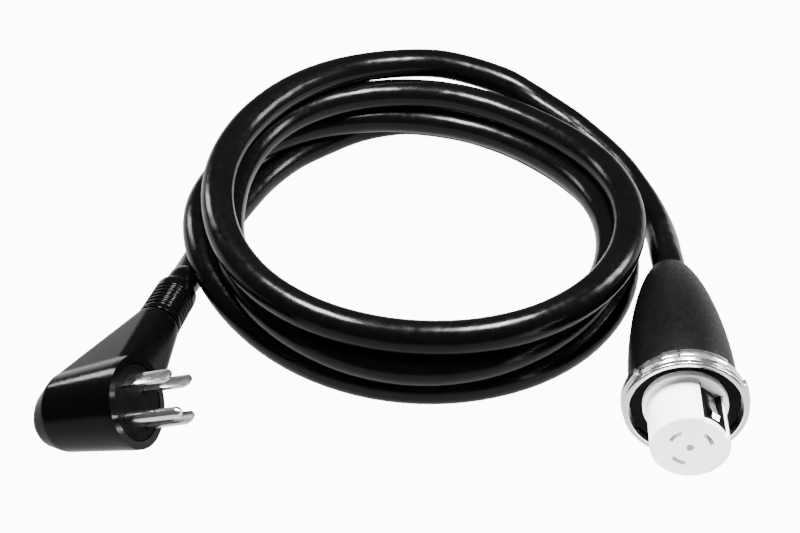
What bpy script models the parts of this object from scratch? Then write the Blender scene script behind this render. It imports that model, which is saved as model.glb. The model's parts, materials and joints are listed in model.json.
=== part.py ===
"""Shore power cord: a heavy round cable in a floor coil, with a right-angle plug on one end and a locking
connector on the other. Metres, +Z up, floor at z = 0. The origin is on the floor, at the middle of the plug
and connector seen from above."""

import math

import bmesh
import bpy
from mathutils import Matrix, Vector

# ---- driving dimensions --------------------------------------------------------------------------
GAP = 0.0003                    # left between solids that touch

CORD_R = 0.0105
BORE_R = CORD_R + GAP           # holes that hold the jacket
WIRE_R = 0.0021

# Coil: the cord's turns lie on each other in a leaning stack, inside this ring.
COIL_CENTRE = Vector((0.01655, 0.1301, 0.0))
COIL_INNER_R = 0.1130
COIL_OUTER_R = 0.1545
COIL_HEIGHT = 0.0820
COIL_EDGE = 0.0100

# Plug frame: Z runs along the blades, Y along the cord, X down across the two hot blades.
PLUG_POS = Vector((-0.16031, -0.04005, 0.0308))
BLADE_AXIS = Vector((0.926, -0.160, 0.341))
CORD_AXIS = Vector((0.203, 0.975, -0.094))
FACE_Z = 0.0205
HEAD_R = 0.0267
HEAD_BACK_Z = -0.0392            # the back's rounded end, lower than the blades' axis by HEAD_BACK_DROP
HEAD_BACK_R = 0.0105
HEAD_BACK_DROP = 0.0070
NECK_R = 0.0140
NECK_END = 0.0760
RELIEF_END = 0.1110
RELIEF_END_R = 0.0128
RELIEF_RIBS = 5
CAVITY_R = 0.0220
CAVITY_FLOOR_Z = -0.0120
INSERT_THICK = 0.0060
BLADE_LENGTH = 0.0286
BLADE_WIDTH = 0.0100
BLADE_THICK = 0.0018
BLADE_TANG_Z = 0.0070           # rear end of the blades, behind the insert
HOT_SPACING = 0.0306
GROUND_TO_NEUTRAL = 0.0272
GROUND_LENGTH = 0.0338
GROUND_R = 0.0033
BARREL_R = 0.0034
BARREL_BORE_R = WIRE_R + GAP
BARREL_LENGTH = 0.0090
PLUG_JACKET_START = 0.0270

# Connector frame: Z runs out of the mouth, Y up, X to the right seen from above. z = 0 is the ring's rim.
CONNECTOR_POS = Vector((0.16405, -0.0501, 0.0377))
CONNECTOR_TURN = math.radians(-7.1)
CONNECTOR_TILT = math.radians(5.9)
CONNECTOR_LENGTH = 0.1320
BOOT_R = 0.0305
BOOT_SHOULDER = 0.030           # where the boot starts to taper
BOOT_TAPER = 0.1135
BOOT_POWER = 1.65
BOOT_WALL = 0.0030
BOOT_FRONT = 0.0161
RING_R = 0.0344
RING_BORE_R = 0.0314
RING_LIP_R = 0.0264
RING_REAR = 0.0155
RING_LIP_FRONT = 0.0126
LUG_R = 0.0364
LUG_WIDTH = 0.0060
CORE_R = 0.0213
CORE_LENGTH = 0.0290
COLLAR_R = 0.0240
COLLAR_FRONT = 0.0030
CORE_REAR = 0.0080
FLANGE_R = 0.0308
FLANGE_REAR = 0.0120
HOUSING_NECK_R = 0.0260
HOUSING_NECK_REAR = 0.0240
HOUSING_R = 0.0220
HOUSING_REAR = 0.0440
CONTACT_CIRCLE_R = 0.0115
CONTACT_ANGLES = (40.0, 142.0, 245.0)
CONTACT_SPREAD = 40.0           # degrees of arc
CONTACT_THICK = 0.0012
CONTACT_FRONT = 0.0260
CONTACT_REAR = 0.0277
SLOT_THICK = 0.0026
GROUND_ANGLE = 54.5             # middle of the recess in the core's side
RECESS_SPREAD = 43.0
RECESS_R = 0.0170
TERMINAL_ANGLES = (20.0, 142.0, 245.0, 80.0)
CORE_SCREW_ANGLES = (110.0, 193.0, 300.0)
TERMINAL_CIRCLE_R = 0.0130
TERMINAL_SIZE = 0.0068
TERMINAL_FRONT = 0.0288
TERMINAL_REAR = 0.0410
CLAMP_FRONT = 0.0580
CLAMP_REAR = 0.0720
CLAMP_R = 0.0190
CONNECTOR_JACKET_START = 0.0560

# ---- routes of the two free stretches, from the fitting to the coil ------------------------------
PLUG_TAIL = (
    (-0.1360, 0.0826, 0.0186),
    (-0.1340, 0.0961, 0.0156),
    (-0.1304, 0.1121, 0.0125),
    (-0.1267, 0.1266, 0.0108),
)
CONNECTOR_TAIL = (
    (0.1835, 0.1031, 0.0205),
    (0.1845, 0.1201, 0.0165),
    (0.1855, 0.1371, 0.0128),
    (0.1845, 0.1551, 0.0108),
    (0.1815, 0.1731, 0.0108),
    (0.1755, 0.1891, 0.0130),
    (0.1675, 0.2041, 0.0180),
    (0.1575, 0.2171, 0.0240),
    (0.1455, 0.2271, 0.0310),
    (0.1345, 0.2361, 0.0370),
)

parts = bpy.data.collections.new("shore_power_cord")
cutters = bpy.data.collections.new("cutters")


# ---- materials -----------------------------------------------------------------------------------
def material(name, colour, roughness, metallic=0.0):
    made = bpy.data.materials.new(name)
    made.use_nodes = True
    shader = made.node_tree.nodes["Principled BSDF"]
    shader.inputs["Base Color"].default_value = (*colour, 1.0)
    shader.inputs["Roughness"].default_value = roughness
    shader.inputs["Metallic"].default_value = metallic
    return made


RUBBER = material("black_rubber", (0.012, 0.012, 0.013), 0.55)
JACKET = material("cord_jacket", (0.010, 0.010, 0.011), 0.25)
VINYL = material("plug_vinyl", (0.010, 0.010, 0.011), 0.35)
BLACK_NYLON = material("black_nylon", (0.015, 0.015, 0.016), 0.45)
WHITE_NYLON = material("white_nylon", (0.82, 0.82, 0.80), 0.35)
NICKEL = material("nickel_plate", (0.78, 0.77, 0.74), 0.18, 1.0)
BRASS = material("brass", (0.72, 0.56, 0.27), 0.28, 1.0)
STEEL = material("zinc_steel", (0.60, 0.61, 0.62), 0.35, 1.0)
WIRE_COLOURS = {
    "black": material("wire_black", (0.012, 0.012, 0.012), 0.4),
    "red": material("wire_red", (0.45, 0.02, 0.02), 0.4),
    "white": material("wire_white", (0.80, 0.80, 0.78), 0.4),
    "green": material("wire_green", (0.02, 0.22, 0.06), 0.4),
}


# ---- building blocks -----------------------------------------------------------------------------
def frame_at(name, position, x_axis, y_axis, z_axis):
    """An empty whose axes are a fitting's own axes."""
    empty = bpy.data.objects.new(name, None)
    parts.objects.link(empty)
    turn = Matrix((x_axis, y_axis, z_axis)).transposed().to_4x4()
    empty.matrix_world = Matrix.Translation(position) @ turn
    return empty


def cord_exit(frame, place, heading):
    """The first two points of the cord outside a fitting, straight out of it."""
    return [frame.matrix_world @ (place + heading * GAP), frame.matrix_world @ (place + heading * 0.005)]


def placed(obj, frame, look=None):
    """Puts an object in a fitting's frame: a part with its material, or a cutter without one."""
    group = parts if look else cutters
    group.objects.link(obj)
    obj.parent = frame
    if look:
        obj.data.materials.append(look)
    else:
        obj.hide_render = True
        obj.display_type = "WIRE"
    return obj


def mesh_object(name, bm, smooth=True):
    mesh = bpy.data.meshes.new(name)
    bmesh.ops.recalc_face_normals(bm, faces=bm.faces)
    bm.to_mesh(mesh)
    bm.free()
    if smooth:
        mesh.shade_smooth()
        mesh.set_sharp_from_angle(angle=math.radians(35))
    return bpy.data.objects.new(name, mesh)


def turned(name, profile, frame, look=None, steps=40, ring=False, turn=None):
    """A profile of (radius, z) turned about Z. A ring's is a closed loop that runs down its outer side."""
    mesh = bpy.data.meshes.new(name)
    points = [(radius, 0.0, z) for radius, z in profile]
    edges = [(i, i + 1) for i in range(len(points) - 1)]
    if ring:
        edges.append((len(points) - 1, 0))
    mesh.from_pydata(points, edges, [])
    obj = placed(bpy.data.objects.new(name, mesh), frame, look)
    screw = obj.modifiers.new("turn", "SCREW")
    screw.axis = "Z"
    screw.steps = steps
    screw.render_steps = steps
    screw.use_merge_vertices = True
    screw.merge_threshold = 0.0001
    screw.use_smooth_shade = True
    if turn:
        obj.matrix_local = turn
    return obj


def sleeve(name, inner_r, outer_r, low_z, high_z, frame, look=None, steps=32, turn=None):
    profile = [(inner_r, high_z), (outer_r, high_z), (outer_r, low_z), (inner_r, low_z)]
    return turned(name, profile, frame, look, steps, ring=True, turn=turn)


def rod(name, radius, low_z, high_z, frame, look=None, steps=24, turn=None):
    profile = [(0.0, high_z), (radius, high_z), (radius, low_z), (0.0, low_z)]
    return turned(name, profile, frame, look, steps, turn=turn)


def block(name, low, high, frame, look=None, turn=None):
    """A box from one corner to the other."""
    low, high = Vector(low), Vector(high)
    bm = bmesh.new()
    bmesh.ops.create_cube(bm, size=1.0)
    for vert in bm.verts:
        vert.co = Vector((c * s for c, s in zip(vert.co, high - low))) + (low + high) / 2
    obj = placed(mesh_object(name, bm, smooth=False), frame, look)
    if turn:
        obj.matrix_local = turn
    return obj


def plate(name, outline, thickness, frame, look=None, turn=None):
    """A flat outline in XY, thickened along Z about its middle."""
    curve = bpy.data.curves.new(name, "CURVE")
    curve.dimensions = "2D"
    curve.fill_mode = "BOTH"
    curve.extrude = thickness / 2
    spline = curve.splines.new("POLY")
    spline.points.add(len(outline) - 1)
    for point, (x, y) in zip(spline.points, outline):
        point.co = (x, y, 0.0, 1.0)
    spline.use_cyclic_u = True
    obj = as_mesh(name, curve)
    placed(obj, frame, look)
    if turn:
        obj.matrix_local = turn
    return obj


def as_mesh(name, curve):
    """The closed mesh of a curve, with its caps welded on."""
    guide = bpy.data.objects.new(name + "_guide", curve)
    bpy.context.scene.collection.objects.link(guide)
    mesh = bpy.data.meshes.new_from_object(guide.evaluated_get(bpy.context.evaluated_depsgraph_get()))
    bpy.data.objects.remove(guide)
    bm = bmesh.new()
    bm.from_mesh(mesh)
    bpy.data.meshes.remove(mesh)
    bmesh.ops.remove_doubles(bm, verts=bm.verts, dist=0.00002)
    return mesh_object(name, bm)


def along(points, per_span):
    """Points on the smooth curve through the given ones (Catmull-Rom, with its ends mirrored)."""
    points = [Vector(point) for point in points]
    padded = [2 * points[0] - points[1], *points, 2 * points[-1] - points[-2]]
    curve = []
    for i in range(1, len(padded) - 2):
        before, start, end, after = padded[i - 1:i + 3]
        for step in range(per_span):
            t = step / per_span
            slope = end - before
            bend = 2 * before - 5 * start + 4 * end - after
            twist = 3 * start - before - 3 * end + after
            curve.append(0.5 * (2 * start + slope * t + bend * t**2 + twist * t**3))
    curve.append(points[-1])
    return curve


def tube_curve(name, points, radius):
    curve = bpy.data.curves.new(name, "CURVE")
    curve.dimensions = "3D"
    curve.bevel_depth = radius
    curve.bevel_resolution = 2
    curve.use_fill_caps = True
    spline = curve.splines.new("POLY")
    spline.points.add(len(points) - 1)
    for point, place in zip(spline.points, points):
        point.co = (*place, 1.0)
    return curve


def tube(name, points, radius, frame, look):
    return placed(bpy.data.objects.new(name, tube_curve(name, points, radius)), frame, look)


def shape(obj, operation, other):
    boolean = obj.modifiers.new(operation.lower(), "BOOLEAN")
    boolean.operation = operation
    boolean.object = other
    return obj


def cut(obj, *others):
    for other in others:
        shape(obj, "DIFFERENCE", other)
    return obj


def about_z(degrees):
    return Matrix.Rotation(math.radians(degrees), 4, "Z")


def sector(inner_r, outer_r, middle_deg, spread_deg, steps=8):
    """The outline of an arc-shaped slot or strip."""
    turns = [math.radians(middle_deg + spread_deg * (i / steps - 0.5)) for i in range(steps + 1)]
    outer = [(outer_r * math.cos(a), outer_r * math.sin(a)) for a in turns]
    inner = [(inner_r * math.cos(a), inner_r * math.sin(a)) for a in reversed(turns)]
    return outer + inner


ALONG_Y = Matrix.Rotation(-math.pi / 2, 4, "X")      # turns a part's own Z onto the frame's Y
ACROSS_X = Matrix(((0, 0, 1), (1, 0, 0), (0, 1, 0))).to_4x4()      # outline x, y onto Y, Z; thickness along X


# ---- plug ----------------------------------------------------------------------------------------
def make_plug():
    blade_axis = BLADE_AXIS.normalized()
    cord_axis = (CORD_AXIS - CORD_AXIS.dot(blade_axis) * blade_axis).normalized()
    frame = frame_at("plug_frame", PLUG_POS, cord_axis.cross(blade_axis), cord_axis, blade_axis)
    make_plug_shell(frame)
    make_plug_face(frame)
    make_blades(frame)
    make_plug_wiring(frame)
    make_strain_relief(frame)
    return cord_exit(frame, Vector((0, RELIEF_END, 0)), Vector((0, 1, 0)))


def make_plug_shell(frame):
    """The moulded body: a head with a rounded back, a neck drawn out of its side, and a hollow face."""
    rim = 0.0030
    back = (HEAD_BACK_R, HEAD_BACK_Z, -HEAD_BACK_DROP)
    waist = (0.0165, -0.0355, -0.0045)
    shell = hull_of("plug_shell", frame, ((HEAD_R, FACE_Z, 0.0), (HEAD_R, FACE_Z - rim, 0.0),
                                          (0.0229, -0.0270, -0.0008), waist, back), VINYL)
    neck = hull_of("neck", frame, ((0.0236, FACE_Z - 2 * rim, 0.0), (0.0219, -0.0285, -0.0005), back),
                   neck_r=NECK_R)
    cavity = rod("cavity", CAVITY_R, CAVITY_FLOOR_Z, FACE_Z + 0.001, frame, steps=40)
    throat = rod("throat", 0.0138, 0.0110, PLUG_JACKET_START, frame, steps=32, turn=ALONG_Y)
    bore = rod("jacket_bore", BORE_R, CAVITY_R - 0.008, NECK_END + 0.001, frame, steps=32, turn=ALONG_Y)
    shape(shell, "UNION", neck)
    cut(shell, cavity, throat, bore)


def hull_of(name, frame, circles, look=None, neck_r=0.0, count=40):
    """The solid stretched over circles across the blades, each (radius, z, y), and over the neck's end."""
    bm = bmesh.new()
    places = [(radius, Matrix.Translation((0, y, z))) for radius, z, y in circles]
    if neck_r:
        places.append((neck_r, Matrix.Translation((0, NECK_END, 0)) @ ALONG_Y))
    for radius, place in places:
        for i in range(count):
            turn = 2 * math.pi * i / count
            bm.verts.new(place @ Vector((radius * math.cos(turn), radius * math.sin(turn), 0.0)))
    hull = bmesh.ops.convex_hull(bm, input=bm.verts)
    bmesh.ops.delete(bm, geom=[item for item in hull["geom_interior"] if isinstance(item, bmesh.types.BMVert)],
                     context="VERTS")
    return placed(mesh_object(name, bm), frame, look)


def blade_places():
    """Each blade's name and place on the face."""
    return {
        "hot_blade_upper": (-HOT_SPACING / 2, 0.0),
        "hot_blade_lower": (HOT_SPACING / 2, 0.0),
        "neutral_blade": (0.0, GROUND_TO_NEUTRAL / 2),
        "ground_pin": (0.0, -GROUND_TO_NEUTRAL / 2),
    }


def make_plug_face(frame):
    """The insert that holds the blades, set a little below the rim."""
    top = FACE_Z - GAP
    insert = rod("plug_face", CAVITY_R - GAP, top - INSERT_THICK, top, frame, BLACK_NYLON, steps=40)
    for name, (x, y) in blade_places().items():
        if name == "ground_pin":
            turn = Matrix.Translation((x, y, 0))
            hole = rod("ground_hole", GROUND_R + GAP, 0.010, 0.022, frame, turn=turn)
        else:
            half_x, half_y = BLADE_THICK / 2 + GAP, BLADE_WIDTH / 2 + GAP
            hole = block(name + "_slot", (x - half_x, y - half_y, 0.010), (x + half_x, y + half_y, 0.022),
                         frame)
        cut(insert, hole)


def make_blades(frame):
    tip = FACE_Z + BLADE_LENGTH
    half, chamfer = BLADE_WIDTH / 2, 0.0026
    outline = [(-half, BLADE_TANG_Z), (half, BLADE_TANG_Z), (half, tip - chamfer), (half - chamfer, tip),
               (chamfer - half, tip), (-half, tip - chamfer)]
    for name, (x, y) in blade_places().items():
        if name != "ground_pin":
            plate(name, outline, BLADE_THICK, frame, NICKEL, Matrix.Translation((x, y, 0)) @ ACROSS_X)
    end = FACE_Z + GROUND_LENGTH
    quarter = [math.radians(a) for a in (90, 70, 50, 30, 10)]
    dome = [(GROUND_R * math.cos(a), end - GROUND_R + GROUND_R * math.sin(a)) for a in quarter]
    profile = [*dome, (GROUND_R, end - GROUND_R), (GROUND_R, BLADE_TANG_Z), (0.0, BLADE_TANG_Z)]
    place = Matrix.Translation((0, -GROUND_TO_NEUTRAL / 2, 0))
    turned("ground_pin", profile, frame, NICKEL, steps=24, turn=place)


def make_plug_wiring(frame):
    """Crimp barrels behind the blades, the four cores that run into them, and the jacket's end in the neck."""
    level = 0.0028
    barrels = {
        "black": ("hot_terminal_upper", -HOT_SPACING / 2, 0.0020),
        "red": ("hot_terminal_lower", HOT_SPACING / 2, 0.0020),
        "white": ("neutral_terminal", 0.0, 0.0105),
        "green": ("ground_terminal", 0.0, -0.0160),
    }
    for name, x, y in barrels.values():
        place = Matrix.Translation((x, y, level)) @ ALONG_Y
        sleeve(name, BARREL_BORE_R, BARREL_R, 0.0, BARREL_LENGTH, frame, BRASS, steps=20, turn=place)
    near = PLUG_JACKET_START - 0.0015
    end = PLUG_JACKET_START - GAP
    routes = {
        "black": ((-HOT_SPACING / 2, 0.0040, level), (-HOT_SPACING / 2, 0.0115, level), (-0.0086, 0.0190, 0.0010),
                  (-0.0048, near, 0.0)),
        "red": ((HOT_SPACING / 2, 0.0040, level), (HOT_SPACING / 2, 0.0115, level), (0.0086, 0.0190, 0.0010),
                (0.0048, near, 0.0)),
        "white": ((0.0, 0.0125, level), (0.0, 0.0205, 0.0032), (0.0, near, 0.0048)),
        "green": ((0.0, -0.0140, level), (0.0, -0.0060, level), (0.0, 0.0040, -0.0030), (0.0, 0.0160, -0.0048),
                  (0.0, near, -0.0048)),
    }
    for colour, route in routes.items():
        last = (route[-1][0], end, route[-1][2])
        tube(f"plug_wire_{colour}", [route[0], *along(route[1:], 4), last], WIRE_R, frame, WIRE_COLOURS[colour])
    rod("cord_end_in_plug", CORD_R, PLUG_JACKET_START, RELIEF_END, frame, JACKET, steps=28, turn=ALONG_Y)


def make_strain_relief(frame):
    """A tapering sleeve with raised ribs."""
    start = NECK_END + GAP
    pitch = (RELIEF_END - start) / (RELIEF_RIBS + 1)
    groove = 0.0011
    outer = [(RELIEF_END_R, RELIEF_END)]
    for i in range(RELIEF_RIBS, 0, -1):
        y = start + i * pitch
        radius = RELIEF_END_R + (NECK_R - RELIEF_END_R) * (RELIEF_END - y) / (RELIEF_END - start)
        outer += [(radius, y + 0.0008), (radius - groove, y + 0.0004), (radius - groove, y - 0.0004),
                  (radius, y - 0.0008)]
    outer.append((NECK_R, start))
    profile = [(BORE_R, RELIEF_END), *outer, (BORE_R, start)]
    turned("strain_relief", profile, frame, VINYL, steps=24, ring=True, turn=ALONG_Y)


# ---- connector -----------------------------------------------------------------------------------
def make_connector():
    level = math.cos(CONNECTOR_TILT)
    mouth = Vector((math.sin(CONNECTOR_TURN) * level, -math.cos(CONNECTOR_TURN) * level,
                    math.sin(CONNECTOR_TILT)))
    right = mouth.cross(Vector((0, 0, 1))).normalized() * -1
    frame = frame_at("connector_frame", CONNECTOR_POS, right, mouth.cross(right), mouth)
    make_ring(frame)
    make_boot(frame)
    make_core_and_housing(frame)
    make_contacts(frame)
    make_terminals(frame)
    make_cord_clamp(frame)
    return cord_exit(frame, Vector((0, 0, -CONNECTOR_LENGTH)), Vector((0, 0, -1)))


def make_ring(frame):
    """The locking ring: a bored sleeve with a rim, a lip behind the housing's flange and four lugs."""
    rim = 0.0022
    profile = [(RING_BORE_R, 0.0), (RING_R - 0.0006, 0.0), (RING_R, -0.0006), (RING_R, -rim),
               (RING_R - 0.0007, -0.0030), (RING_R - 0.0007, -0.0065), (RING_R, -0.0072),
               (RING_R, -0.0150), (RING_R - 0.0005, -RING_REAR),
               (RING_LIP_R, -RING_REAR), (RING_LIP_R, -RING_LIP_FRONT), (RING_BORE_R, -RING_LIP_FRONT)]
    ring = turned("locking_ring", profile, frame, NICKEL, steps=48, ring=True)
    for quarter in range(4):
        lug = block(f"lug_{quarter}", (RING_R - 0.0015, -LUG_WIDTH / 2, -0.0145),
                    (LUG_R, LUG_WIDTH / 2, -0.0035), frame, turn=about_z(90 * quarter))
        shape(ring, "UNION", lug)


def boot_radius(back):
    """The boot's outer radius at a distance behind the rim."""
    if back <= BOOT_SHOULDER:
        return BOOT_R
    return BOOT_R * math.sqrt(1 - ((back - BOOT_SHOULDER) / BOOT_TAPER) ** BOOT_POWER)


def make_boot(frame):
    """The bell-shaped rubber cover, hollow from the housing back to the cord's bore."""
    backs = [BOOT_FRONT, BOOT_SHOULDER, 0.044, 0.058, 0.072, 0.085, 0.097, 0.107, 0.116, 0.123, 0.128, 0.131]
    outer = [(boot_radius(back), -back) for back in backs] + [(0.0120, -CONNECTOR_LENGTH)]
    inner = [(BORE_R, -CONNECTOR_LENGTH), (BORE_R, -0.121)]
    for back in (0.112, 0.100, 0.086, 0.070, 0.050, HOUSING_NECK_REAR):
        inner.append((boot_radius(back) - BOOT_WALL, -back))
    inner += [(HOUSING_NECK_R + GAP, -HOUSING_NECK_REAR + GAP), (HOUSING_NECK_R + GAP, -BOOT_FRONT)]
    turned("connector_boot", outer + inner, frame, RUBBER, steps=40, ring=True)


def make_core_and_housing(frame):
    """The white contact core, the black housing with the ring's flange behind it, and their screws."""
    core = turned("contact_core", [(0.0, CORE_LENGTH), (CORE_R, CORE_LENGTH), (CORE_R, COLLAR_FRONT),
                                   (COLLAR_R, COLLAR_FRONT), (COLLAR_R, -CORE_REAR), (0.0, -CORE_REAR)],
                  frame, WHITE_NYLON, steps=32)
    flange_front = -CORE_REAR - GAP
    profile = [(0.0, flange_front), (FLANGE_R, flange_front), (FLANGE_R, -FLANGE_REAR),
               (HOUSING_NECK_R, -FLANGE_REAR), (HOUSING_NECK_R, -HOUSING_NECK_REAR),
               (HOUSING_R, -HOUSING_NECK_REAR), (HOUSING_R, -HOUSING_REAR), (0.0, -HOUSING_REAR)]
    housing = turned("terminal_housing", profile, frame, BLACK_NYLON, steps=28)
    for angle in CONTACT_ANGLES:
        outline = sector(CONTACT_CIRCLE_R - SLOT_THICK / 2, CONTACT_CIRCLE_R + SLOT_THICK / 2, angle,
                         CONTACT_SPREAD + 4, 3)
        slot = plate(f"contact_slot_{angle:.0f}", outline, 0.090, frame,
                     turn=Matrix.Translation((0, 0, 0.014)))
        cut(core, slot)
        cut(housing, slot)
    cut(core, rod("pilot_hole", 0.0024, 0.017, CORE_LENGTH + 0.001, frame, steps=12))
    recess = sector(RECESS_R, COLLAR_R, GROUND_ANGLE, RECESS_SPREAD, 3)
    depth = CORE_LENGTH + 0.001 - COLLAR_FRONT
    middle = Matrix.Translation((0, 0, COLLAR_FRONT + depth / 2))
    cut(core, plate("ground_recess", recess, depth, frame, turn=middle))
    outward = about_z(GROUND_ANGLE)
    cut(core, block("ground_passage", (0.0144, -0.0030, -0.0090), (0.0200, 0.0030, COLLAR_FRONT + 0.001), frame,
                    turn=outward))
    cut(housing, block("ground_passage_rear", (0.0144, -0.0030, -0.0300), (0.0168, 0.0030, -0.0070), frame,
                       turn=outward))
    for angle in TERMINAL_ANGLES:
        half = TERMINAL_SIZE / 2 + GAP
        pocket = block(f"terminal_pocket_{angle:.0f}", (TERMINAL_CIRCLE_R - half, -half, -HOUSING_REAR - 0.001),
                       (TERMINAL_CIRCLE_R + half, half, -TERMINAL_FRONT + GAP), frame, turn=about_z(angle))
        sideways = about_z(angle) @ Matrix.Translation((0, 0, -0.0350)) @ Matrix.Rotation(math.pi / 2, 4, "Y")
        access = rod(f"screw_access_{angle:.0f}", 0.0031, 0.012, 0.024, frame, turn=sideways)
        cut(housing, pocket, access)
    for number, angle in enumerate(CORE_SCREW_ANGLES, start=1):
        place = about_z(angle) @ Matrix.Translation((0.0185, 0, 0))
        cut(housing, rod(f"screw_hole_{number}", 0.0017, -0.050, 0.0, frame, steps=12, turn=place))
        cut(core, rod(f"screw_seat_{number}", 0.0017, -0.010, -0.0015, frame, steps=12, turn=place))
        head = -HOUSING_REAR - GAP
        turned(f"core_screw_{number}", [(0.0, -0.0025), (0.0014, -0.0025), (0.0014, head), (0.0028, head),
                                        (0.0028, head - 0.0018), (0.0, head - 0.0018)], frame, STEEL, steps=16,
               turn=place)
    sleeve("weather_gasket", COLLAR_R + GAP, FLANGE_R - GAP, flange_front + GAP, flange_front + 0.0020,
           frame, RUBBER, steps=40)


def make_contacts(frame):
    """Three arc-shaped spring contacts in the core's slots, and the ground contact in its side window."""
    names = ("line_contact_1", "neutral_contact", "line_contact_2")
    length = CONTACT_FRONT + CONTACT_REAR
    middle = Matrix.Translation((0, 0, (CONTACT_FRONT - CONTACT_REAR) / 2))
    outer_r = CONTACT_CIRCLE_R + SLOT_THICK / 2 - GAP
    for name, angle in zip(names, CONTACT_ANGLES):
        outline = sector(outer_r - CONTACT_THICK, outer_r - 0.0002, angle, CONTACT_SPREAD, 6)
        plate(name, outline, length, frame, NICKEL, middle)
    rear, front, thick = 0.0149, 0.0176, 0.0012
    outline = [(rear, -CONTACT_REAR), (rear + thick, -CONTACT_REAR), (rear + thick, -0.0020),
               (front + thick, 0.0050), (front + thick, 0.0130), (0.0204, 0.0190), (front + thick, 0.0250),
               (front, 0.0250),
               (0.0192, 0.0190), (front, 0.0130), (front, 0.0050), (rear, -0.0020)]
    plate("ground_contact", outline, 0.0050, frame, NICKEL, about_z(GROUND_ANGLE - 90) @ ACROSS_X)


def make_terminals(frame):
    """A brass block and its clamping screw for each core of the cord, and the cores themselves."""
    colours = ("black", "white", "red", "green")
    for number, (angle, colour) in enumerate(zip(TERMINAL_ANGLES, colours), start=1):
        half = TERMINAL_SIZE / 2
        inner = TERMINAL_CIRCLE_R - half
        lug = block(f"terminal_{number}", (inner, -half, -TERMINAL_REAR), (TERMINAL_CIRCLE_R + half, half,
                    -TERMINAL_FRONT), frame, BRASS, about_z(angle))
        cut(lug, rod(f"wire_entry_{number}", WIRE_R + GAP, -0.050, -0.0335, frame, steps=16,
                     turn=about_z(angle) @ Matrix.Translation((TERMINAL_CIRCLE_R - 0.0005, 0, 0))))
        sideways = about_z(angle) @ Matrix.Translation((0, 0, -0.0350)) @ Matrix.Rotation(math.pi / 2, 4, "Y")
        start = TERMINAL_CIRCLE_R + half + GAP
        turned(f"terminal_screw_{number}", [(0.0, start + 0.0035), (0.0027, start + 0.0035), (0.0027, start),
                                            (0.0, start)], frame, STEEL, steps=16, turn=sideways)
        tip = about_z(angle) @ Vector((TERMINAL_CIRCLE_R - 0.0005, 0, -0.0345))
        mouth = about_z(angle) @ Vector((TERMINAL_CIRCLE_R - 0.0005, 0, -0.0420))
        bend = about_z(angle) @ Vector((0.0085, 0, -0.0500))
        near = about_z(angle) @ Vector((0.0050, 0, -CONNECTOR_JACKET_START + 0.0015))
        end = about_z(angle) @ Vector((0.0050, 0, -CONNECTOR_JACKET_START + GAP))
        route = [tip, *along((mouth, bend, near), 4), end]
        tube(f"connector_wire_{colour}", route, WIRE_R, frame, WIRE_COLOURS[colour])
    rod("cord_end_in_connector", CORD_R, -CONNECTOR_LENGTH, -CONNECTOR_JACKET_START, frame, JACKET, steps=28)


def make_cord_clamp(frame):
    """Two half collars round the jacket, drawn together by two screws."""
    for side, name in ((1, "cord_clamp_upper"), (-1, "cord_clamp_lower")):
        collar = sleeve(name, BORE_R, CLAMP_R, -CLAMP_REAR, -CLAMP_FRONT, frame, BLACK_NYLON, steps=40)
        low, high = sorted((side * 0.0005, -side * 0.030))
        cut(collar, block(name + "_half", (-0.030, low, -0.080), (0.030, high, -0.050), frame))
        for x in (-0.0150, 0.0150):
            upright = Matrix.Translation((x, 0, -0.0650)) @ ALONG_Y
            cut(collar, rod(f"{name}_hole_{x:.3f}", 0.0019, -0.030, 0.030, frame, steps=12, turn=upright))
            if x < 0:
                span = (x - 0.0050, x + 0.0035)
            else:
                span = (x - 0.0035, x + 0.0050)
            low, high = sorted((side * 0.0090, side * 0.030))
            seat = block(f"{name}_seat_{x:.3f}", (span[0], low, -0.0700), (span[1], high, -0.0600), frame)
            cut(collar, seat)
    for number, x in enumerate((-0.0150, 0.0150), start=1):
        upright = Matrix.Translation((x, 0, -0.0650)) @ ALONG_Y
        turned(f"clamp_screw_{number}", [(0.0, 0.0113), (0.0030, 0.0113), (0.0030, 0.0093), (0.0016, 0.0093),
                                         (0.0016, -0.0088), (0.0, -0.0088)], frame, STEEL, steps=16, turn=upright)


# ---- cord ----------------------------------------------------------------------------------------
def make_cord(exits):
    """The coil as one ring with a channel for each free stretch, and the two stretches to the fittings."""
    edge = COIL_EDGE
    profile = [(COIL_INNER_R, COIL_HEIGHT - edge), (COIL_INNER_R + edge, COIL_HEIGHT),
               (COIL_OUTER_R - edge, COIL_HEIGHT), (COIL_OUTER_R, COIL_HEIGHT - edge), (COIL_OUTER_R, edge / 2),
               (COIL_OUTER_R - edge / 2, 0.0), (COIL_INNER_R + edge / 2, 0.0), (COIL_INNER_R, edge / 2)]
    place = Matrix.Translation(COIL_CENTRE)
    coil = turned("cord_coil", profile, None, JACKET, steps=60, ring=True, turn=place)
    routes = {"cord_tail_plug": PLUG_TAIL, "cord_tail_connector": CONNECTOR_TAIL}
    for (name, route), start in zip(routes.items(), exits):
        stretch = [start[0], *along([start[1], *route], 2)]
        tube(name, stretch, CORD_R, None, JACKET)
        beyond = stretch[-1] + (stretch[-1] - stretch[-2]).normalized() * GAP
        channel = as_mesh(name + "_channel", tube_curve(name, [*stretch, beyond], CORD_R + GAP))
        cut(coil, placed(channel, None))


for old in list(bpy.data.objects):
    bpy.data.objects.remove(old)
bpy.context.scene.collection.children.link(parts)
bpy.context.scene.collection.children.link(cutters)
make_cord((make_plug(), make_connector()))
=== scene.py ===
"""A coiled shore power cord, its moulded plug and its booted locking connector, dressed from the frame."""
import json
import math

import bmesh
import bpy
from mathutils import Matrix, Vector


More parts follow.
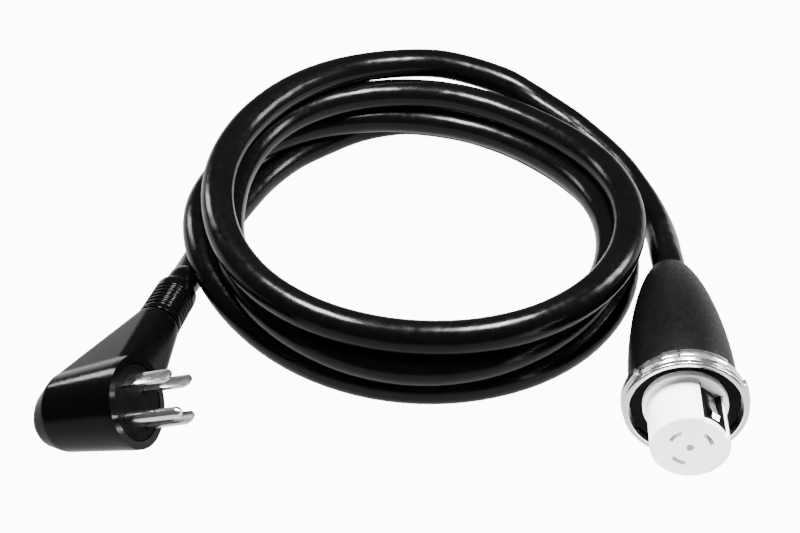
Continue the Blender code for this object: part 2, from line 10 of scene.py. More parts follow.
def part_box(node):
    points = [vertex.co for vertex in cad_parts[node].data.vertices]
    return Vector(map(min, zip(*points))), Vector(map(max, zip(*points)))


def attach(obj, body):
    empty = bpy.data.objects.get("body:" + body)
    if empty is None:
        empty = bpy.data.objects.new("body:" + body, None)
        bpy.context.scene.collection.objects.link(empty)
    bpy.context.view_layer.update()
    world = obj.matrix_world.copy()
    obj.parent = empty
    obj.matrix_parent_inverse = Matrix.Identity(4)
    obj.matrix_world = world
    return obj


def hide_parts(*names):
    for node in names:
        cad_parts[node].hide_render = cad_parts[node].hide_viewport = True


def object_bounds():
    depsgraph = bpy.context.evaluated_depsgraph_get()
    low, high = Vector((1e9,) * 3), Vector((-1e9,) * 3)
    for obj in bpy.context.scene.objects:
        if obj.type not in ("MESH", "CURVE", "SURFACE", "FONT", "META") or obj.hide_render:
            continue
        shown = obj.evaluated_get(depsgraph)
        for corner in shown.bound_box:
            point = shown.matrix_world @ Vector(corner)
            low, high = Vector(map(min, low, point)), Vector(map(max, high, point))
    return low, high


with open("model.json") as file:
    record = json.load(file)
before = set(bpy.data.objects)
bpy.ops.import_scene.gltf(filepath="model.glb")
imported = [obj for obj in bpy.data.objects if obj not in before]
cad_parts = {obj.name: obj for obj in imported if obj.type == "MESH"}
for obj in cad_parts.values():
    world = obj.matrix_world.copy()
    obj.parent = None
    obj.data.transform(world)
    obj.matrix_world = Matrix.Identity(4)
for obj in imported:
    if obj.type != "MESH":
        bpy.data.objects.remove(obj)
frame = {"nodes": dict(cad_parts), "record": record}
cad_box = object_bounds()
record = frame["record"]
mounts = {mount["name"]: mount for mount in record["mounts"]}
ring_joint = record["behaviour"]["joints"][0]

# Sizes are in metres.
GAP = 0.0003                    # clearance between pieces that fit together
CORD_R = 0.0105
FACE_Z = 0.0205                 # plug: the head's rim, along the blades
NECK_END = 0.0760               # plug: where the neck meets the strain relief, along the cord
RELIEF_END = 0.1110             # plug: where the cord leaves the strain relief
NECK_WAY = (0.203, 0.975, -0.094)   # plug: the way the neck leads off, before it is squared to the blades
BOOT_LENGTH = 0.1320            # connector: from the ring's front rim to the cord's exit
coil_low, coil_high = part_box("cord_coil")
COIL_CENTRE = Vector(((coil_low[0] + coil_high[0]) / 2, (coil_low[1] + coil_high[1]) / 2, 0.0))


def fitting_frame(origin, z_axis, y_axis):
    """A fitting's own axes as a matrix: Z as given, Y as near to its own as a right angle allows."""
    z_axis = Vector(z_axis).normalized()
    y_axis = (Vector(y_axis) - Vector(y_axis).dot(z_axis) * z_axis).normalized()
    turn = Matrix((y_axis.cross(z_axis), y_axis, z_axis)).transposed().to_4x4()
    return Matrix.Translation(Vector(origin)) @ turn


BLADE_AXIS = Vector(mounts["plug_face"]["axis"])
PLUG = fitting_frame(Vector(mounts["plug_face"]["pos_m"]) - BLADE_AXIS * (FACE_Z - GAP), BLADE_AXIS, NECK_WAY)
CONNECTOR = fitting_frame(ring_joint["pos_m"], ring_joint["axis"], (0, 0, 1))

# ---- camera -----------------------------------------------------------------------------------------------
CAMERA_FROM_COIL = Vector((-0.0113, -0.6023, 0.5121))
LOOKS_DOWN_DEG = 41.065
LENS_MM = 51.03
camera = bpy.data.objects.new("camera", bpy.data.cameras.new("camera"))
bpy.context.scene.collection.objects.link(camera)
camera.data.sensor_width = 36.0
camera.data.lens = LENS_MM
camera.data.clip_start = 0.01
camera.location = COIL_CENTRE + CAMERA_FROM_COIL
camera.rotation_euler = (math.radians(90 - LOOKS_DOWN_DEG), 0.0, 0.0)
bpy.context.scene.camera = camera


# ---- materials --------------------------------------------------------------------------------------------
NOISE_LOW, NOISE_HIGH = 0.3, 0.7    # between these lie nearly all of a noise texture's values
SMOOTHEST = 0.02                    # the lowest roughness anywhere
EVEN, BRUSHED = (1.0, 1.0, 1.0), (1.0, 0.06, 1.0)


def material(name, colour, roughness, metallic=0.0, tint=0.15, tint_scale=40.0, rough_vary=0.08, grain=0.0,
             grain_scale=2500.0, scuff=0.0, waves=0.0, specular=0.5):
    """A Principled material whose colour, roughness and bump vary over the surface."""
    made = bpy.data.materials.new(name)
    made.use_nodes = True
    tree = made.node_tree
    shader = tree.nodes["Principled BSDF"]
    shader.inputs["Metallic"].default_value = metallic
    shader.inputs["Specular IOR Level"].default_value = specular
    place = tree.nodes.new("ShaderNodeTexCoord")
    cloud = noise(tree, place, tint_scale, 4.0)
    ramp = tree.nodes.new("ShaderNodeValToRGB")
    dark = [c * (1 - tint) for c in colour]
    light = [min(1.0, c * (1 + tint)) for c in colour]
    ramp.color_ramp.elements[0].position = NOISE_LOW
    ramp.color_ramp.elements[1].position = NOISE_HIGH
    ramp.color_ramp.elements[0].color = (*dark, 1.0)
    ramp.color_ramp.elements[1].color = (*light, 1.0)
    tree.links.new(cloud.outputs["Fac"], ramp.inputs["Fac"])
    tree.links.new(ramp.outputs["Color"], shader.inputs["Base Color"])
    spots = noise(tree, place, tint_scale * 6, 6.0)
    spread = tree.nodes.new("ShaderNodeMapRange")
    spread.inputs["From Min"].default_value = NOISE_LOW
    spread.inputs["From Max"].default_value = NOISE_HIGH
    spread.inputs["To Min"].default_value = max(SMOOTHEST, roughness - rough_vary)
    spread.inputs["To Max"].default_value = roughness + rough_vary
    tree.links.new(spots.outputs["Fac"], spread.inputs["Value"])
    tree.links.new(spread.outputs["Result"], shader.inputs["Roughness"])
    before = None
    for strength, distance, scale, detail, stretch in ((waves, 0.0012, 55.0, 1.0, EVEN),
                                                       (scuff, 0.0002, 300.0, 8.0, BRUSHED),
                                                       (grain, 0.0003, grain_scale, 2.0, EVEN)):
        if not strength:
            continue
        texture = noise(tree, place, scale, detail, stretch)
        bump = tree.nodes.new("ShaderNodeBump")
        bump.inputs["Strength"].default_value = strength
        bump.inputs["Distance"].default_value = distance
        tree.links.new(texture.outputs["Fac"], bump.inputs["Height"])
        if before:
            tree.links.new(before.outputs["Normal"], bump.inputs["Normal"])
        before = bump
    if before:
        tree.links.new(before.outputs["Normal"], shader.inputs["Normal"])
    return made


def noise(tree, place, scale, detail, stretch=EVEN):
    """A noise texture over the object's own coordinates."""
    mapping = tree.nodes.new("ShaderNodeMapping")
    mapping.inputs["Scale"].default_value = stretch
    texture = tree.nodes.new("ShaderNodeTexNoise")
    texture.inputs["Scale"].default_value = scale
    texture.inputs["Detail"].default_value = detail
    tree.links.new(place.outputs["Object"], mapping.inputs["Vector"])
    tree.links.new(mapping.outputs["Vector"], texture.inputs["Vector"])
    return texture


JACKET = material("jacket_rubber", (0.0008, 0.0008, 0.0009), 0.20, rough_vary=0.05, grain=0.08, waves=0.5,
                  specular=0.12)
VINYL = material("plug_vinyl", (0.0008, 0.0008, 0.0009), 0.16, rough_vary=0.04, grain=0.05, specular=0.09)
FACE = material("plug_face_nylon", (0.0008, 0.0008, 0.0009), 0.45, grain=0.15, specular=0.02)
BOOT = material("boot_rubber", (0.0009, 0.0009, 0.0010), 0.42, rough_vary=0.06, grain=1.0, grain_scale=1100.0,
                specular=0.06)
BLACK = material("black_nylon", (0.0012, 0.0012, 0.0013), 0.40, grain=0.15, specular=0.06)
WHITE = material("white_nylon", (0.83, 0.83, 0.82), 0.35, tint=0.02, grain=0.05)
NICKEL = material("nickel", (0.82, 0.82, 0.81), 0.20, metallic=1.0, tint=0.05, rough_vary=0.05, grain=0.03,
                  scuff=0.05)
BLADE = material("blade_metal", (0.70, 0.69, 0.67), 0.20, metallic=1.0, tint=0.06, rough_vary=0.04,
                 grain=0.02, scuff=0.02)
# The look of each CAD node that stays, by its slot in the record.
NODE_LOOKS = {
    "black_rubber": BOOT, "cord_jacket": JACKET, "plug_vinyl": VINYL,
    "black_nylon": BLACK, "white_nylon": WHITE, "nickel_plate": NICKEL,
    "brass": material("brass", (0.72, 0.55, 0.26), 0.30, metallic=1.0, tint=0.08, grain=0.04),
    "zinc_steel": material("zinc_steel", (0.62, 0.63, 0.64), 0.35, metallic=1.0, tint=0.05, grain=0.05),
    "wire_black": material("wire_black", (0.012, 0.012, 0.012), 0.4, grain=0.05),
    "wire_red": material("wire_red", (0.45, 0.02, 0.02), 0.4, grain=0.05),
    "wire_white": material("wire_white", (0.80, 0.80, 0.78), 0.4, tint=0.03, grain=0.05),
    "wire_green": material("wire_green", (0.02, 0.22, 0.06), 0.4, grain=0.05),
}


# ---- building blocks --------------------------------------------------------------------------------------
SHARP_DEG = 35.0                # a crease at least this sharp stays sharp when shaded
BEVEL_DEG = 30.0                # an edge sharper than this is bevelled
CORNER_SHARE = 0.45             # the most of an edge that one rounded corner takes
ON_AXIS = 1e-7                  # a smaller radius counts as a point on the axis


def linked(name, data):
    """A new object in the scene."""
    obj = bpy.data.objects.new(name, data)
    bpy.context.scene.collection.objects.link(obj)
    return obj


def piece(name, data, look, place=None, *, body="root", stands_for=()):
    """A visible piece on its body; place is baked into its data, so its bounds are exact."""
    obj = linked(name, data)
    data.materials.clear()
    data.materials.append(look)
    if place is not None:
        data.transform(place)
    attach(obj, body)
    if stands_for:
        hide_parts(*stands_for)
    return obj


def to_mesh(name, bm, angle=SHARP_DEG):
    """The bmesh as a mesh, with its faces turned outward and its creases sharp."""
    mesh = bpy.data.meshes.new(name)
    bmesh.ops.recalc_face_normals(bm, faces=bm.faces)
    bm.to_mesh(mesh)
    bm.free()
    finish_shading(mesh, angle)
    return mesh


def finish_shading(mesh, angle):
    """Smooth shading, with the creases over that angle kept sharp."""
    mesh.shade_smooth()
    mesh.set_sharp_from_angle(angle=math.radians(angle))


def lathe(name, profile, steps, closed=False, angle=SHARP_DEG):
    """A mesh turned about Z from (radius, z) points; a closed profile makes a ring."""
    bm = bmesh.new()
    rings = []
    for radius, z in profile:
        if radius < ON_AXIS:
            rings.append([bm.verts.new((0, 0, z))] * steps)
        else:
            rings.append([bm.verts.new((x, y, z)) for x, y in circle(radius, steps)])
    pairs = list(zip(rings, rings[1:]))
    if closed:
        pairs.append((rings[-1], rings[0]))
    for upper, lower in pairs:
        for i in range(steps):
            j = (i + 1) % steps
            corners = [upper[i], upper[j], lower[j], lower[i]]
            corners = [v for k, v in enumerate(corners) if v not in corners[:k]]
            if len(corners) > 2:
                bm.faces.new(corners)
    return to_mesh(name, bm, angle)


def rounded(profile, radius, steps=3):
    """The profile with each inner corner replaced by an arc of about that radius."""
    made = [profile[0]]
    for before, corner, after in zip(profile, profile[1:], profile[2:]):
        a, b, c = Vector(before), Vector(corner), Vector(after)
        reach = min(radius, (a - b).length * CORNER_SHARE, (c - b).length * CORNER_SHARE)
        start = b + (a - b).normalized() * reach
        end = b + (c - b).normalized() * reach
        for i in range(steps + 1):
            t = i / steps
            made.append(tuple(start * (1 - t) ** 2 + b * 2 * t * (1 - t) + end * t * t))
    made.append(profile[-1])
    return made


def solid(name, outline, low, high, bevel=0.0):
    """A flat outline in XY, drawn from one height to another, with its edges rounded by bevel."""
    bm = bmesh.new()
    bottom = [bm.verts.new((x, y, low)) for x, y in outline]
    top = [bm.verts.new((x, y, high)) for x, y in outline]
    bm.faces.new(bottom[::-1])
    bm.faces.new(top)
    count = len(outline)
    for i in range(count):
        j = (i + 1) % count
        bm.faces.new((bottom[i], bottom[j], top[j], top[i]))
    bmesh.ops.recalc_face_normals(bm, faces=bm.faces)
    if bevel:
        sharp = [edge for edge in bm.edges if edge.calc_face_angle(0) > math.radians(BEVEL_DEG)]
        bmesh.ops.bevel(bm, geom=sharp, offset=bevel, segments=2, affect="EDGES", profile=0.5)
    return to_mesh(name, bm)


def helper(name, mesh, place=None):
    """A construction object, removed once it has been used."""
    obj = linked(name, mesh)
    if place is not None:
        obj.matrix_world = place
    return obj


def combined(name, base, steps=(), angle=SHARP_DEG):
    """The mesh of base after its modifiers and each (operation, helper) Boolean; the objects are removed."""
    for operation, other in steps:
        boolean = base.modifiers.new(operation, "BOOLEAN")
        boolean.operation = operation
        boolean.object = other
        boolean.solver = "EXACT"
    bpy.context.view_layer.update()
    graph = bpy.context.evaluated_depsgraph_get()
    mesh = bpy.data.meshes.new_from_object(base.evaluated_get(graph))
    mesh.name = name
    for _, other in steps:
        bpy.data.objects.remove(other)
    bpy.data.objects.remove(base)
    finish_shading(mesh, angle)
    return mesh


def sector(inner_r, outer_r, middle_deg, spread_deg, steps=16):
    """The outline of an arc with square ends."""
    turns = [math.radians(middle_deg + spread_deg * (i / steps - 0.5)) for i in range(steps + 1)]
    outer = [(outer_r * math.cos(a), outer_r * math.sin(a)) for a in turns]
    return outer + [(inner_r * math.cos(a), inner_r * math.sin(a)) for a in reversed(turns)]


def circle(radius, count=48, centre=(0.0, 0.0)):
    """The corners of a circle's polygon."""
    return [(centre[0] + radius * math.cos(2 * math.pi * i / count),
             centre[1] + radius * math.sin(2 * math.pi * i / count)) for i in range(count)]


def rectangle(left, low, right, high):
    """The outline of a rectangle."""
    return [(left, low), (right, low), (right, high), (left, high)]


ALONG_Y = Matrix.Rotation(-math.pi / 2, 4, "X")                 # turns Z to Y
ACROSS_X = Matrix(((0, 0, 1), (1, 0, 0), (0, 1, 0))).to_4x4()   # turns X to Y, Y to Z and Z to X


def about_z(degrees):
    """A turn about Z."""
    return Matrix.Rotation(math.radians(degrees), 4, "Z")


# ---- cord -------------------------------------------------------------------------------------------------
# The coil is wound anticlockwise and down: the radius and height of its loose turns at each eighth, in mm.
# The first of them lies straight behind the centre.
MM = 0.001
FIRST_EIGHTH = 2
EIGHTHS = (
    (145, 65), (129, 73), (130, 67), (135, 57), (135, 50), (141, 48.5),
    (140, 46), (127, 46), (128, 49), (129, 51), (125, 45), (134, 37), (141, 31), (136, 29.5),
    (130, 28), (122, 26), (126, 27), (138, 31.5), (147, 35), (138, 18), (137, 11), (142, 11),
    (141, 11), (136, 11), (147, 11),
)
STEPS_AN_EIGHTH = 3
# The stretches from the boot to the topmost turn, and from under the coil to the plug, in mm from its centre.
CONNECTOR_STRETCH = (
    (166, -27, 21), (168, -10, 17), (169, 7, 13), (168, 25, 11), (165, 43, 11), (159.5, 59, 13),
    (151.5, 74, 18), (141, 88, 23), (129, 101.5, 27.5), (118, 111.5, 32), (108, 120, 35), (99, 127.5, 37.5),
    (87, 137, 41), (66, 147, 48.5), (29, 150.5, 59),
)
PLUG_STRETCH = (
    (-23, 144.5, 11), (-46, 135.5, 11), (-69, 119, 11), (-93, 98, 11), (-113, 69, 11), (-129, 33, 11),
    (-137, 12, 11), (-143, -3, 11), (-147, -18, 11), (-150, -33, 13), (-152, -47, 16.5),
)
STRAIGHT_FROM_BOOT = 0.012
STRAIGHT_TO_PLUG = 0.010


def smooth_curve(points, per_span):
    """Points on the Catmull-Rom curve through the given ones."""
    points = [Vector(point) for point in points]
    padded = [2 * points[0] - points[1], *points, 2 * points[-1] - points[-2]]
    curve = []
    for i in range(1, len(padded) - 2):
        before, start, end, after = padded[i - 1:i + 3]
        for step in range(per_span):
            t = step / per_span
            curve.append(0.5 * (2 * start + (end - before) * t
                                + (2 * before - 5 * start + 4 * end - after) * t**2
                                + (3 * start - before - 3 * end + after) * t**3))
    curve.append(points[-1])
    return curve


def cord_route():
    """The cord's centre line from the connector's boot over the coil, down its turns and out to the plug."""
    start = [CONNECTOR @ Vector((0, 0, -BOOT_LENGTH - out)) for out in (GAP, STRAIGHT_FROM_BOOT)]
    end = [PLUG @ Vector((0, RELIEF_END + out, 0)) for out in (STRAIGHT_TO_PLUG, GAP)]
    turns = []
    rounds = smooth_curve([(*eighth, 0) for eighth in EIGHTHS], STEPS_AN_EIGHTH)
    for i, (radius, height, _) in enumerate(rounds):
        angle = math.pi / 4 * (FIRST_EIGHTH + i / STEPS_AN_EIGHTH)
        turns.append((radius * math.cos(angle), radius * math.sin(angle), height))
    route = [COIL_CENTRE + Vector(point) * MM for point in (*CONNECTOR_STRETCH, *turns, *PLUG_STRETCH)]
    return [Vector((*point.xy, max(point.z, CORD_R))) for point in smooth_curve([*start, *route, *end], 4)]


def make_cord():
    """The whole cord as one round tube along its centre line."""
    route = cord_route()
    curve = bpy.data.curves.new("cord", "CURVE")
    curve.dimensions = "3D"
    curve.bevel_depth = CORD_R
    curve.bevel_resolution = 10
    curve.use_fill_caps = True
    spline = curve.splines.new("POLY")
    spline.points.add(len(route) - 1)
    for point, place in zip(spline.points, route):
        point.co = (*place, 1.0)
    cord = piece("cord", curve, JACKET,
                 stands_for=("cord_coil", "cord_tail_plug", "cord_tail_connector"))


# ---- plug -------------------------------------------------------------------------------------------------
# The circles that head and neck are stretched over, lying across the blades: radius, z and the middle's y.
HEAD_CIRCLES = ((0.0267, FACE_Z + 0.004, 0.0), (0.0267, FACE_Z - 0.003, 0.0), (0.0229, -0.0270, -0.0008),
                (0.0165, -0.0355, -0.0045), (0.0105, -0.0392, -0.0070))
NECK_CIRCLES = ((0.0236, 0.0145, 0.0), (0.0219, -0.0285, -0.0005), (0.0105, -0.0392, -0.0070))
NECK_R = 0.0140
VOXEL, QUICK_VOXEL = 0.0009, 0.0014
CAVITY_R, CAVITY_DEPTH = 0.0220, 0.0065
FACE_R, FACE_THICK = 0.0217, 0.006
PIN_PLACES = {"hot_blade_upper": (-0.0153, 0.0), "hot_blade_lower": (0.0153, 0.0),
              "neutral_blade": (0.0, 0.0136), "ground_pin": (0.0, -0.0136)}
ROOT_Z = 0.007                  # where the metal starts, inside the plug
BLADE_HALF, BLADE_HALF_THICK, BLADE_CORNER, BLADE_OUT = 0.005, 0.0009, 0.0026, 0.0286
PIN_R, PIN_OUT = 0.0033, 0.0338
PIN_ROOM = 0.0003               # clearance round the metal where it passes the face
RELIEF_R, RIBS = 0.0135, 6
PLUG_PIECES = []


def hull_of(name, circles, neck_r=0.0):
    """The mesh stretched over circles across the blades, and over the neck's end where neck_r is given."""
    bm = bmesh.new()
    for radius, z, middle in circles:
        for x, y in circle(radius, 96, (0.0, middle)):
            bm.verts.new((x, y, z))
    if neck_r:
        for x, z in circle(neck_r, 64):
            bm.verts.new((x, NECK_END - 0.0005, z))
    bmesh.ops.convex_hull(bm, input=bm.verts)
    loose = [vert for vert in bm.verts if not vert.link_faces]
    bmesh.ops.delete(bm, geom=loose, context="VERTS")
    return to_mesh(name, bm)


def make_plug_body():
    """Head and neck, joined and softened as one moulding, hollowed for the face and bored for the cord."""
    head = helper("head", hull_of("head", HEAD_CIRCLES))
    neck = helper("neck", hull_of("neck", NECK_CIRCLES, NECK_R))
    body = helper("body", combined("body", head, [("UNION", neck)]))
    remesh = body.modifiers.new("remesh", "REMESH")
    remesh.mode = "VOXEL"
    remesh.voxel_size = VOXEL
    smooth = body.modifiers.new("smooth", "SMOOTH")
    smooth.factor = 0.5
    smooth.iterations = 6
    body = helper("body", combined("body", body))
    front = helper("front", solid("front", circle(0.04), FACE_Z, 0.05))
    cavity = helper("cavity", solid("cavity", circle(CAVITY_R, 96), FACE_Z - CAVITY_DEPTH, 0.06))
    bore = helper("bore", solid("bore", circle(CORD_R + GAP), 0.030, 0.090), ALONG_Y)
    steps = [("DIFFERENCE", front), ("DIFFERENCE", cavity), ("DIFFERENCE", bore)]
    mesh = combined("plug_body", body, steps, 40.0)
    return piece("plug_body", mesh, VINYL, PLUG, stands_for=("plug_shell",))


def make_plug_face():
    """The disc in the head's mouth, with a hole for each blade and for the pin."""
    top = FACE_Z - GAP
    bottom = top - FACE_THICK
    profile = rounded([(0.0, top), (FACE_R, top), (FACE_R, bottom), (0.0, bottom)], 0.0005)
    face = helper("face", lathe("face", profile, 96))
    wide, thick = BLADE_HALF + PIN_ROOM, BLADE_HALF_THICK + PIN_ROOM
    steps = []
    for name, (x, y) in PIN_PLACES.items():
        if name == "ground_pin":
            outline = circle(PIN_R + PIN_ROOM, 32, (x, y))
        else:
            outline = rectangle(x - thick, y - wide, x + thick, y + wide)
        steps.append(("DIFFERENCE", helper("hole", solid("hole", outline, 0.010, 0.024))))
    mesh = combined("plug_face_insert", face, steps)
    return piece("plug_face_insert", mesh, FACE, PLUG, stands_for=("plug_face",))


def make_blades():
    """The three flat blades and the round, dome-ended ground pin."""
    made = []
    half, corner, tip = BLADE_HALF, BLADE_CORNER, FACE_Z + BLADE_OUT
    outline = [(-half, ROOT_Z), (half, ROOT_Z), (half, tip - corner), (half - corner, tip),
               (corner - half, tip), (-half, tip - corner)]
    for name, (x, y) in PIN_PLACES.items():
        if name == "ground_pin":
            continue
        mesh = solid(name, outline, -BLADE_HALF_THICK, BLADE_HALF_THICK, bevel=0.00025)
        place = PLUG @ Matrix.Translation((x, y, 0)) @ ACROSS_X
        made.append(piece(name + "_metal", mesh, BLADE, place, stands_for=(name,)))
    end = FACE_Z + PIN_OUT
    arc = [math.radians(90 - 9 * i) for i in range(1, 10)]
    dome = [(PIN_R * math.cos(a), end - PIN_R + PIN_R * math.sin(a)) for a in arc]
    profile = [(0.0, end), *dome, (PIN_R, ROOT_Z + 0.0002), (PIN_R - 0.0003, ROOT_Z), (0.0, ROOT_Z)]
    place = PLUG @ Matrix.Translation((*PIN_PLACES["ground_pin"], 0))
    made.append(piece("ground_pin_metal", lathe("ground_pin_metal", profile, 48), BLADE, place,
                      stands_for=("ground_pin",)))
    return made


def make_relief():
    """The ribbed sleeve at the end of the plug's neck, its ribs growing a little toward the neck."""
    start, end, bore = NECK_END + GAP, RELIEF_END, CORD_R + 0.0002
    profile = [(bore, end), (0.0116, end), (0.0128, end - 0.0008), (0.0134, end - 0.0030),
               (RELIEF_R, end - 0.0085)]
    first, last = start + 0.0030, end - 0.0095
    pitch = (last - first) / RIBS
    for i in range(RIBS):
        y = last - i * pitch
        radius = RELIEF_R + 0.0004 * i / RIBS
        profile += [(radius, y), (radius - 0.0011, y - pitch * 0.15), (radius - 0.0012, y - pitch * 0.40),
                    (radius - 0.0002, y - pitch * 0.60)]
    profile += [(0.0139, first), (0.0139, start), (bore, start)]
    mesh = lathe("relief_sleeve", rounded(profile, 0.0004, 2), 72, closed=True, angle=60.0)
    return piece("relief_sleeve", mesh, VINYL, PLUG @ ALONG_Y,
                 stands_for=("strain_relief",))


# ---- connector --------------------------------------------------------------------------------------------
# Along the connector's axis, the ring's front rim is at 0 and the boot runs back from it to -BOOT_LENGTH.
BOOT_R, SHOULDER, TAPER, POWER = 0.0305, 0.0300, 0.1135, 1.65
BOOT_NECK, BOOT_WALL, BOOT_STEPS = 0.1290, 0.003, 40
BOOT_SEAT_R, BOOT_FRONT, BOOT_SEAT = 0.0263, 0.0161, 0.0237
RING_BORE, RING_R, BAND_R, LIP_R, GRIP_R = 0.0314, 0.0344, 0.0338, 0.0264, 0.0354
GRIP_ANGLES, GRIP_SPREAD, SPLIT_ANGLE = (89.0, 179.0, 269.0, 359.0), 62.0, 104
CONTACT_ANGLES, CONTACT_SPREAD = (40.0, 142.0, 245.0), 41.0
CORE_R, CORE_LENGTH, COLLAR_R, COLLAR_FRONT, CORE_BACK = 0.0213, 0.0290, 0.0236, -0.0030, -0.0080
RECESS_R, LINER_R, LEDGE_Z, RECESS_ANGLE, RECESS_SPREAD = 0.0170, 0.0150, 0.0250, 54.5, 50.0
CLEAR_OF_CORE = 0.0300


def boot_radius(back):
    """The boot's outer radius at a distance back from the ring's front rim."""
    if back <= SHOULDER:
        return BOOT_R
    return BOOT_R * math.sqrt(1 - ((back - SHOULDER) / TAPER) ** POWER)


def make_boot():
    """The bullet-shaped rubber boot, hollow, with a lip in front and a short collar round the cord behind."""
    backs = [SHOULDER + (BOOT_NECK - SHOULDER) * (1 - (1 - i / BOOT_STEPS) ** 1.4)
             for i in range(BOOT_STEPS + 1)]
    outer = [(BOOT_R - 0.0008, -BOOT_FRONT), (BOOT_R - 0.0001, -0.0166), (BOOT_R, -0.0175), (BOOT_R, -0.0260)]
    outer += [(boot_radius(back), -back) for back in backs]
    neck = boot_radius(BOOT_NECK)
    outer += [(neck - 0.0005, -0.1296), (neck - 0.0007, -0.1300), (0.0126, -0.1304), (0.0127, -0.1312),
              (0.0122, -BOOT_LENGTH), (CORD_R + GAP, -BOOT_LENGTH)]
    inner = [(CORD_R + GAP, -0.121)]
    inner += [(boot_radius(back) - BOOT_WALL, -back)
              for back in (0.112, 0.100, 0.086, 0.070, 0.050, BOOT_SEAT)]
    inner += [(BOOT_SEAT_R, -BOOT_SEAT), (BOOT_SEAT_R, -BOOT_FRONT)]
    piece("boot", lathe("boot", outer + inner, 120, closed=True), BOOT, CONNECTOR,
          stands_for=("connector_boot",))


def make_ring():
    """The bright locking ring: a chamfered sleeve, a waist, a rear band with four grips, and a split."""
    waist = RING_R - 0.0012
    profile = [(RING_BORE, -0.0006), (RING_BORE + 0.0005, 0.0), (RING_R - 0.0007, 0.0), (RING_R, -0.0007),
               (RING_R, -0.0030), (waist, -0.0036), (waist, -0.0050), (BAND_R, -0.0056), (BAND_R, -0.0118),
               (BAND_R - 0.0012, -0.0130), (LIP_R, -0.0155), (LIP_R, -0.0126)]
    profile = rounded(profile, 0.0003, 2) + [(RING_BORE, -0.0126)]
    ring = helper("ring", lathe("ring", profile, 144, closed=True))
    steps = []
    for angle in GRIP_ANGLES:
        outline = sector(BAND_R - 0.0012, GRIP_R, angle, GRIP_SPREAD, 28)
        steps.append(("UNION", helper("grip", solid("grip", outline, -0.0112, -0.0064, bevel=0.0004))))
    split = solid("split", rectangle(RING_BORE + 0.0004, -0.0006, 0.0380, 0.0006), -0.0170, -0.0058)
    steps.append(("DIFFERENCE", helper("split", split, about_z(SPLIT_ANGLE))))
    piece("ring_sleeve", combined("ring", ring, steps), NICKEL, CONNECTOR, body="locking_ring",
          stands_for=("locking_ring",))


def make_core():
    """The white contact core, with its arc slots, its pilot hole and the recess for the ground contact."""
    profile = rounded([(0.0, CORE_LENGTH), (CORE_R, CORE_LENGTH), (CORE_R, COLLAR_FRONT),
                       (COLLAR_R, COLLAR_FRONT), (COLLAR_R, CORE_BACK), (0.0, CORE_BACK)], 0.0009, 4)
    core = helper("core", lathe("core", profile, 144))
    cutters = [solid("slot", sector(0.0103, 0.0127, angle, CONTACT_SPREAD), -0.0070, 0.050)
               for angle in CONTACT_ANGLES]
    cutters.append(solid("pilot", circle(0.0022, 32), 0.017, 0.050))
    for name, floor_r, top in (("recess", LINER_R, LEDGE_Z), ("lip", 0.0196, 0.0400)):
        outline = sector(floor_r, CLEAR_OF_CORE, RECESS_ANGLE, RECESS_SPREAD)
        cutters.append(solid(name, outline, COLLAR_FRONT, top))
    steps = [("DIFFERENCE", helper("cutter", cutter)) for cutter in cutters]
    piece("core", combined("core", core, steps), WHITE, CONNECTOR,
          stands_for=("contact_core",))


def make_recess_shade_lining():
    """Painted shade: a dark tray lining the ground recess, open outward, with the spring contact standing in
    it.
    """
    outline = sector(LINER_R + GAP, 0.0204, RECESS_ANGLE, RECESS_SPREAD - 2.0)
    tray = helper("tray", solid("tray", outline, COLLAR_FRONT + GAP, LEDGE_Z - GAP, bevel=0.0003))
    outline = sector(RECESS_R, CLEAR_OF_CORE, RECESS_ANGLE, RECESS_SPREAD - 7.0)
    well = helper("well", solid("well", outline, COLLAR_FRONT - 0.001, LEDGE_Z - 0.0010))
    mesh = combined("recess_shade_liner", tray, [("DIFFERENCE", well)])
    # The dark tray is painted shade: it stands in for the shadow inside the recess.
    piece("recess_shade_liner", mesh, BLACK, CONNECTOR)


# ---- set --------------------------------------------------------------------------------------------------
# The floor and the sky are burnt out to the camera, but throw much less light onto the part.
GLOW_SEEN, FLOOR_ON_WHITES, FLOOR_IN_MIRRORS, SKY_GLOW = 12.0, 10.0, 1.2, 0.12
PALE = (1.0, 1.0, 1.0, 1.0)
FLOOR_HALF = 6.0
# Each softbox's place from the coil's centre, its size and its power in watts.
SOFTBOXES = {
    "top_left": ((-0.16, -0.02, 0.55), (0.16, 0.10), 16.0),
    "top_right": ((0.16, -0.02, 0.55), (0.16, 0.10), 16.0),
    "back_left": ((-0.75, 0.42, 0.36), (0.16, 0.30), 5.0),
    "side_right": ((0.90, 0.20, 0.45), (0.20, 0.40), 14.0),
}


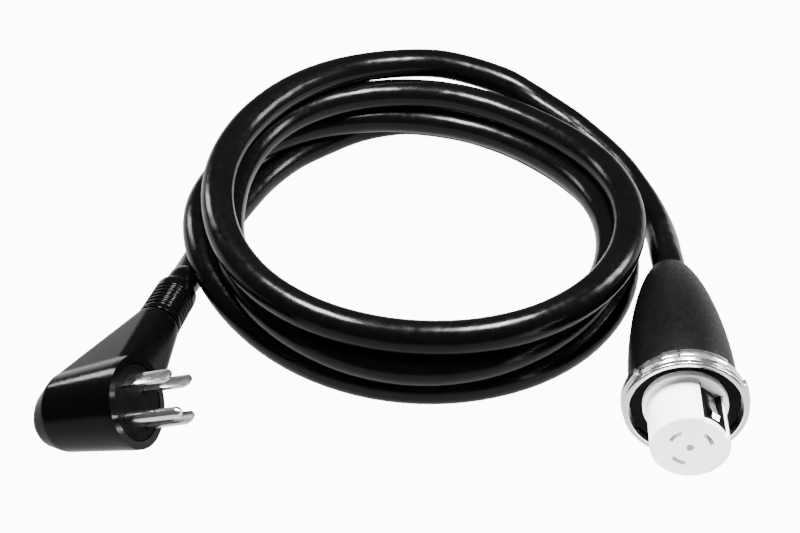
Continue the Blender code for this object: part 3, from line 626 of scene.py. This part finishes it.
def glow_by_ray(tree, base, seen_as, strength):
    """Sets an emission strength to base, and to other values for the kinds of ray named in seen_as."""
    rays = tree.nodes.new("ShaderNodeLightPath")
    value = tree.nodes.new("ShaderNodeValue")
    value.outputs["Value"].default_value = base
    total = value.outputs["Value"]
    for ray, glow in seen_as.items():
        add = tree.nodes.new("ShaderNodeMath")
        add.operation = "MULTIPLY_ADD"
        tree.links.new(rays.outputs[ray], add.inputs[0])
        add.inputs[1].default_value = glow - base
        tree.links.new(total, add.inputs[2])
        total = add.outputs["Value"]
    tree.links.new(total, strength)


def make_floor():
    """A wide pale floor under the part, which belongs to the set."""
    mesh = bpy.data.meshes.new("floor")
    corners = [(x, y, 0) for x, y in rectangle(-FLOOR_HALF, -FLOOR_HALF, FLOOR_HALF, FLOOR_HALF)]
    mesh.from_pydata(corners, [], [(0, 1, 2, 3)])
    floor = linked("floor", mesh)
    look = bpy.data.materials.new("floor")
    look.use_nodes = True
    shader = look.node_tree.nodes["Principled BSDF"]
    shader.inputs["Base Color"].default_value = (0.08, 0.08, 0.08, 1.0)
    shader.inputs["Roughness"].default_value = 0.9
    shader.inputs["Specular IOR Level"].default_value = 0.0
    shader.inputs["Emission Color"].default_value = PALE
    seen_as = {"Is Camera Ray": GLOW_SEEN, "Is Diffuse Ray": FLOOR_ON_WHITES}
    glow_by_ray(look.node_tree, FLOOR_IN_MIRRORS, seen_as, shader.inputs["Emission Strength"])
    mesh.materials.append(look)
    floor.location.z = min(0.0, cad_box[0].z)


def make_lights():
    """The softboxes, all aimed at the coil's centre, and the sky."""
    for name, (offset, size, power) in SOFTBOXES.items():
        light = bpy.data.lights.new(name, "AREA")
        light.shape = "RECTANGLE"
        light.size, light.size_y = size
        light.energy = power
        obj = linked(name, light)
        obj.location = COIL_CENTRE + Vector(offset)
        obj.rotation_euler = (-Vector(offset)).to_track_quat("-Z", "Y").to_euler()
    world = bpy.data.worlds.new("studio")
    world.use_nodes = True
    sky = world.node_tree.nodes["Background"]
    sky.inputs["Color"].default_value = PALE
    glow_by_ray(world.node_tree, SKY_GLOW, {"Is Camera Ray": GLOW_SEEN}, sky.inputs["Strength"])
    bpy.context.scene.world = world


PLUG_PIECES += [make_plug_body(), make_plug_face(), *make_blades(), make_relief()]
make_cord()
make_boot()
make_ring()
make_core()
# The ground recess's painted shade.
make_recess_shade_lining()
for entry in record["subparts"]:
    node = frame["nodes"][entry["node"]]
    node.data.materials.clear()
    node.data.materials.append(NODE_LOOKS[entry["material_slot"]])
make_floor()
make_lights()
